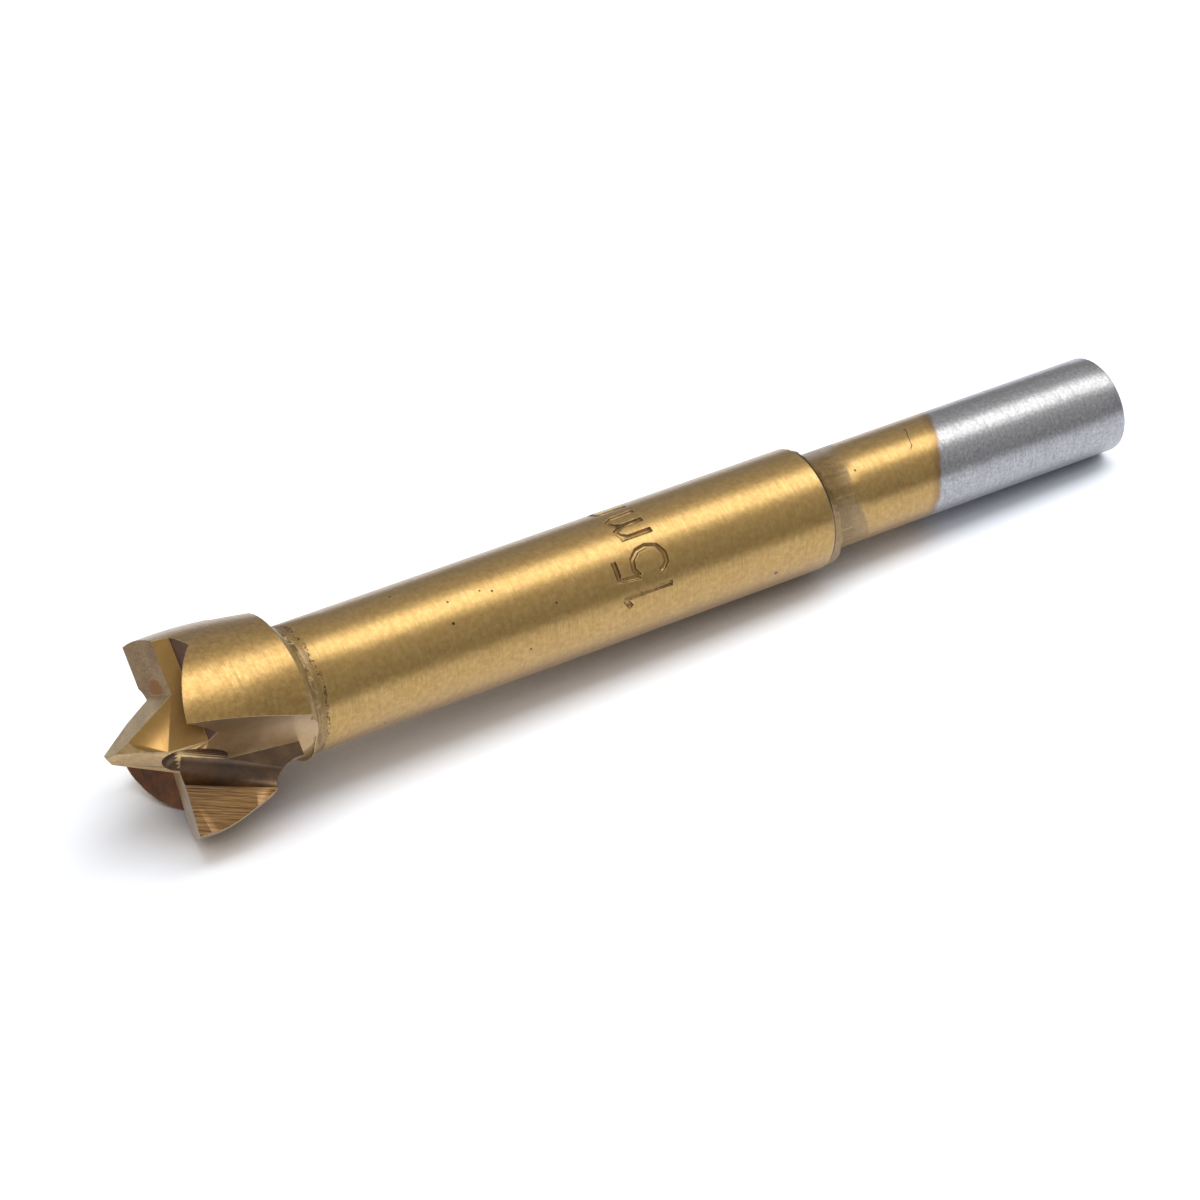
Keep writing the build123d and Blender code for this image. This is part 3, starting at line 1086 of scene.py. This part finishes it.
@dataclass
class SizeMark:
    """The bit's size, stamped round the body: strokes as angle in degrees and height on the axis.

    Attributes:
        radius: Radius of the body.
        width: Width of a stroke's tool, which is round.
        depth: Depth of a stroke.
        roundness: Facets across a quarter of the tool.
        strokes: Points of the figures' strokes.
        letter_starts: Angle of each letter's stem.
        letter_stem: Upper and lower end of a stem.
        letter_step: Angle from a stem to the next arch.
        letter_arch: Points of an arch, from the stem.
        point_step: Greatest angle between two points of the tool.
    """

    radius: float = BODY_RADIUS
    width: float = 0.5
    depth: float = 0.22
    roundness: int = 3
    strokes: tuple = (
        ((-118, 45.1), (-118, 49.65)),
        ((-118.5, 49.5), (-123, 49.25), (-127.5, 48.95)),
        ((-83.5, 49.6), (-101, 49.6), (-103, 47.75)),
        ((-103, 47.75), (-96, 48.15), (-87, 48.0), (-80.5, 47.3), (-79, 46.45))
        + ((-82, 45.6), (-90, 45.18), (-98, 45.2), (-105, 45.9)),
    )
    letter_starts: tuple = (-66.0, -23.0)
    letter_stem: tuple[float, float] = (48.05, 45.2)
    letter_step: float = 14.2
    letter_arch: tuple = ((0, 47.3), (4, 47.9), (9.5, 48.0), (13.5, 47.3), (14.2, 45.3))
    point_step: float = 5.0

    def paths(self) -> list[list[tuple[float, float]]]:
        """Lists all strokes, with the arches of the letters.

        Returns:
            The points of each stroke.
        """
        paths = [list(stroke) for stroke in self.strokes]
        for start in self.letter_starts:
            paths.append([(start, height) for height in self.letter_stem])
            for arch in (0.0, self.letter_step):
                paths.append([(start + arch + turn, height) for turn, height in self.letter_arch])
        return paths

    def build(self) -> bpy.types.Object:
        """Makes the tool that presses the strokes into the body.

        Returns:
            One mesh of all strokes, in the bit's frame.
        """
        curve = bpy.data.curves.new("size_mark", "CURVE")
        curve.dimensions = "3D"
        curve.bevel_depth = self.width / 2
        curve.bevel_resolution = self.roundness
        curve.use_fill_caps = True
        centre = self.radius + self.width / 2 - self.depth
        for path in self.paths():
            spline = curve.splines.new("POLY")
            points = self.along(path, centre)
            spline.points.add(len(points) - 1)
            for point, place in zip(spline.points, points):
                point.co = (*place, 1)
        mark = bpy.data.objects.new("size_mark", curve)
        bpy.context.scene.collection.objects.link(mark)
        activate(mark)
        bpy.ops.object.convert(target="MESH")
        return bpy.context.active_object

    def along(self, path: list[tuple[float, float]], radius: float) -> list[tuple[float, float, float]]:
        """Lays a stroke's points on the round body, a few degrees apart.

        Args:
            path: The stroke's points, as angle and height.
            radius: Radius on which the tool's middle runs.

        Returns:
            The places, in the bit's frame.
        """
        points = []
        for (turn, low), (next_turn, high) in zip(path, path[1:]):
            steps = max(1, math.ceil(abs(next_turn - turn) / self.point_step))
            rise, swing = high - low, next_turn - turn
            points += [(turn + swing * s / steps, low + rise * s / steps) for s in range(steps)]
        points.append(path[-1])
        return [
            (radius * math.cos(math.radians(turn)), radius * math.sin(math.radians(turn)), height)
            for turn, height in points
        ]


@dataclass
class ForstnerBit:
    """The whole bit, one piece of steel.

    Attributes:
        shaft: Shank, collar and body.
        head: The head, carried over.
        finder: Names the face of each facet.
        mark: The size mark.
        smooth_angle: Edges that turn by more degrees than this stay sharp.
        flat_faces: Faces that shade flat.
        groove_inset: How far below the body's surface a facet of the mark lies.
        groove_span: Heights between which the mark lies.
        same_way: Least cosine between a facet's normal and the exact one that replaces it.
    """

    shaft: TurnedShaft = field(default_factory=TurnedShaft)
    head: GroundHead = field(default_factory=GroundHead)
    finder: FaceFinder = field(default_factory=FaceFinder)
    mark: SizeMark = field(default_factory=SizeMark)
    smooth_angle: float = 24.0
    flat_faces: tuple = (
        HeadFace.RELIEF_A,
        HeadFace.RELIEF_B,
        HeadFace.POCKET_WALL,
        HeadFace.POCKET_FLOOR,
        HeadFace.SPUR_BEVEL,
        HeadFace.RAKE,
        HeadFace.RAKE_ROOT,
        HeadFace.POINT,
    )
    groove_inset: float = 0.012
    groove_span: tuple[float, float] = (44.0, 51.0)
    same_way: float = 0.8

    def build(self) -> bpy.types.Object:
        """Joins shaft and head and stamps the size.

        Returns:
            The closed mesh, in the bit's own frame.
        """
        bit = self.shaft.build()
        head = self.head.build()
        activate(bit)
        head.select_set(True)
        bpy.ops.object.join()
        self.bridge(bit)
        self.stamp(bit)
        activate(bit)
        bpy.ops.object.mode_set(mode="EDIT")
        bpy.ops.mesh.select_all(action="SELECT")
        bpy.ops.mesh.normals_make_consistent(inside=False)
        bpy.ops.object.mode_set(mode="OBJECT")
        return bit

    def bridge(self, bit: bpy.types.Object) -> None:
        """Closes the gap between the shaft's last ring and the head's neck.

        Args:
            bit: Shaft and head as one object.
        """
        activate(bit)
        bpy.ops.object.mode_set(mode="EDIT")
        bpy.ops.mesh.select_all(action="DESELECT")
        bpy.ops.mesh.select_mode(type="EDGE")
        bpy.ops.mesh.select_non_manifold()
        bpy.ops.mesh.bridge_edge_loops()
        bpy.ops.object.mode_set(mode="OBJECT")

    def stamp(self, bit: bpy.types.Object) -> None:
        """Presses the size mark into the body.

        Args:
            bit: The closed bit.
        """
        mark = self.mark.build()
        activate(bit)
        cut = bit.modifiers.new("stamp", "BOOLEAN")
        cut.operation = "DIFFERENCE"
        cut.solver = "EXACT"
        cut.use_self = True
        cut.object = mark
        bpy.ops.object.modifier_apply(modifier=cut.name)
        bpy.data.objects.remove(mark)

    def dress(self, bit: bpy.types.Object, finishes: Finishes) -> None:
        """Gives each face its finish, then lays the bit down on the table.

        Args:
            bit: The bit in its own frame.
            finishes: The finishes by face.
        """
        low, high = self.groove_span
        bit.data.materials.clear()
        for face in HeadFace:
            bit.data.materials.append(finishes.made[face])
        for polygon in bit.data.polygons:
            corners = [bit.data.vertices[index].co for index in polygon.vertices]
            face = self.finder.find(polygon.center, polygon.normal, corners)
            inset = polygon.center.xy.length < self.mark.radius - self.groove_inset
            if face is HeadFace.SHAFT and inset and low < polygon.center.z < high:
                face = HeadFace.GROOVE
            polygon.material_index = face.value
        normals = self.corner_normals(bit)
        bit.data.transform(BIT_TO_ROW)
        activate(bit)
        bpy.ops.object.shade_smooth_by_angle(angle=math.radians(self.smooth_angle))
        self.part_faces(bit)
        flats = {face.value for face in self.flat_faces}
        for polygon in bit.data.polygons:
            polygon.use_smooth = polygon.material_index not in flats
        bit.data.normals_split_custom_set(normals)
        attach(bit, "root")
        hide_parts(NODE)
        LOG.info("dressed %s: %d faces", bit.name, len(bit.data.polygons))

    def corner_normals(self, bit: bpy.types.Object) -> list[Vector]:
        """Lists the shading direction of every corner of the bit.

        Args:
            bit: The bit in its own frame, with its finishes.

        Returns:
            The directions in the row frame, each none at all where the mesh's own serves.
        """
        normals = [Vector() for _ in bit.data.loops]
        for polygon in bit.data.polygons:
            face = HeadFace(polygon.material_index)
            for index in polygon.loop_indices:
                place = bit.data.vertices[bit.data.loops[index].vertex_index].co
                exact = self.finder.true_normal(face, place)
                if exact.length > 0 and exact.dot(polygon.normal) > self.same_way:
                    normals[index] = BIT_TURN @ exact
        return normals

    @staticmethod
    def part_faces(bit: bpy.types.Object) -> None:
        """Keeps the edges between differently ground faces sharp.

        Args:
            bit: The bit with its finishes.
        """
        mesh = bmesh.new()
        mesh.from_mesh(bit.data)
        for edge in mesh.edges:
            if len({face.material_index for face in edge.link_faces}) > 1:
                edge.smooth = False
        mesh.to_mesh(bit.data)
        mesh.free()


@dataclass
class PhotoCamera:
    """The photograph's view, in millimetres and degrees.

    Attributes:
        place: Where the camera stands.
        turn: Its rotation about X, Y and Z.
        lens: Focal length.
        sensor: Width of the sensor.
        nearest: Distance in metres from which it sees.
    """

    place: tuple[float, float, float] = (-155.05467, -228.55356, 223.56066)
    turn: tuple[float, float, float] = (51.409627, -0.485999, -33.286937)
    lens: float = 136.455
    sensor: float = 36.0
    nearest: float = 0.01

    def build(self) -> None:
        """Adds the camera and makes it the scene's own."""
        data = bpy.data.cameras.new("photo_camera")
        data.lens = self.lens
        data.sensor_width = self.sensor
        data.clip_start = self.nearest
        camera = bpy.data.objects.new("photo_camera", data)
        camera.location = Vector(self.place) * MM
        camera.rotation_euler = Euler([math.radians(a) for a in self.turn], "XYZ")
        bpy.context.scene.collection.objects.link(camera)
        bpy.context.scene.camera = camera


@dataclass
class Table:
    """The plain pale table, with the object's soft shadow on it. Lengths are in metres.

    Attributes:
        size: Length of a side.
        contact_reach: How far from the bit the paper can see it.
        contact_open: Shares of open sky at which the painted contact shadow is full and at which it is gone.
        contact_dark: What is left of the white in the full painted contact shadow.
        whiteness: Paper's level for the camera, above 1 because the photo's paper is burnt out.
        matt: Its level for the light that it scatters.
        pool_reach: Distances from the bit between which the painted pool of light on the paper fades, as the
            metal mirrors it.
        pool_levels: Its levels at those distances.
        tint: The paper's slightly cool white.
    """

    size: float = 40.0
    contact_reach: float = 0.02
    contact_open: tuple[float, float] = (0.18, 0.46)
    contact_dark: float = 0.28
    whiteness: float = 1.55
    matt: float = 0.8
    pool_reach: tuple[float, float] = (0.07, 0.22)
    pool_levels: tuple[float, float] = (1.25, 0.4)
    tint: tuple[float, float, float] = (0.95, 0.98, 1.05)

    def build(self) -> None:
        """Adds the table."""
        bpy.ops.mesh.primitive_plane_add(size=self.size, location=(0, 0, 0))
        table = bpy.context.active_object
        table.name = "table"
        table.data.materials.append(self.paper())

    def paper(self) -> bpy.types.Material:
        """Makes the studio paper.

        Returns:
            The material.
        """
        # Uncoated white paper, rolled smooth: matt, and as burnt out as in the photo, with the shadow kept
        graph = Graph(bpy.data.materials.new("studio_paper"))
        path = graph.add("LightPath").outputs
        rays = {"in_0": path["Is Glossy Ray"], "in_1": path["Is Transmission Ray"]}
        mirrored = graph.add("Math", {"operation": "MAXIMUM"}, **rays)
        # Painted contact shadow: for the camera the paper darkens where the bit is close
        closeness = graph.add("AmbientOcclusion", {"samples": 12}, Distance=self.contact_reach).outputs["AO"]
        open_sky = between(self.contact_open)
        contact = graph.add("MapRange", None, Value=closeness, **open_sky, To_Min=self.contact_dark)
        place = graph.add("NewGeometry").outputs["Position"]
        far = graph.add("VectorMath", {"operation": "LENGTH"}, in_0=place).outputs["Value"]
        levels = {"To_Min": self.pool_levels[0], "To_Max": self.pool_levels[1]}
        # Painted pool of light: in the metal's reflections the paper is brighter near the bit and darker
        # further off
        pool = graph.add("MapRange", None, Value=far, **between(self.pool_reach), **levels)
        matt = graph.add("Mix", {"data_type": "FLOAT"}, in_0=mirrored, in_2=self.matt, in_3=pool)
        white = graph.add("Math", {"operation": "MULTIPLY"}, in_0=contact, in_1=self.whiteness)
        level = graph.add("Mix", {"data_type": "FLOAT"}, in_0=path["Is Camera Ray"], in_2=matt, in_3=white)
        tint = graph.add("VectorMath", {"operation": "SCALE"}, in_0=self.tint, Scale=level)
        shade = graph.add("BsdfDiffuse", None, Color=tint)
        graph.add("OutputMaterial", None, Surface=shade)
        return graph.owner


@dataclass
class StudioLight:
    """One large soft box overhead and grey walls all round.

    Attributes:
        toward: Direction from the bit to the soft box.
        distance: Distance to it, in metres.
        length: Its length, in metres.
        width: Its width, in metres.
        radiance: Its brightness.
        colour: Linear colour of its light.
        wall_foot: Brightness of the walls at the table's height.
        wall_top: Their brightness overhead.
        wall_rise: How far up the sky the walls brighten.
    """

    toward: tuple[float, float, float] = (0.3, 0.02, 0.88)
    distance: float = 0.7
    length: float = 1.2
    width: float = 0.36
    radiance: float = 2.25
    colour: tuple[float, float, float] = (1.0, 1.0, 0.97)
    wall_foot: float = 0.2
    wall_top: float = 0.46
    wall_rise: float = 0.5

    def build(self) -> None:
        """Adds the soft box and the walls."""
        data = bpy.data.lights.new("soft_box", "AREA")
        data.shape = "RECTANGLE"
        data.size = self.length
        data.size_y = self.width
        data.energy = self.radiance * math.pi * self.length * self.width
        data.color = self.colour
        lamp = bpy.data.objects.new("soft_box", data)
        aim = Vector(self.toward).normalized()
        across = aim.cross(Vector((1, 0, 0))).normalized()
        along = across.cross(aim)
        lamp.location = aim * self.distance
        lamp.rotation_euler = Matrix((along, across, aim)).transposed().to_euler()
        lamp.visible_camera = False
        bpy.context.scene.collection.objects.link(lamp)
        self.walls()

    def walls(self) -> None:
        """Adds the grey walls, darker near the table than overhead."""
        world = bpy.data.worlds.new("grey_walls")
        graph = Graph(world)
        place = graph.add("TexCoord").outputs["Generated"]
        height = graph.add("SeparateXYZ", None, in_0=place).outputs["Z"]
        levels = {"To_Min": self.wall_foot, "To_Max": self.wall_top}
        level = graph.add("MapRange", None, Value=height, From_Min=0.0, From_Max=self.wall_rise, **levels)
        grey = graph.add("Background", None, Color=(1, 1, 1, 1), Strength=level)
        graph.add("OutputWorld", None, Surface=grey)
        bpy.context.scene.world = world


def main() -> None:
    """Builds the studio and the bit."""
    logging.basicConfig(level=logging.INFO, format="%(name)s: %(message)s")
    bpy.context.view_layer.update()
    bpy.context.scene.view_settings.view_transform = "Standard"
    deselect()
    PhotoCamera().build()
    Table().build()
    StudioLight().build()
    finishes = Finishes().build()
    bit = ForstnerBit()
    piece = bit.build()
    bit.dress(piece, finishes)


if __name__ == "__main__":
    main()
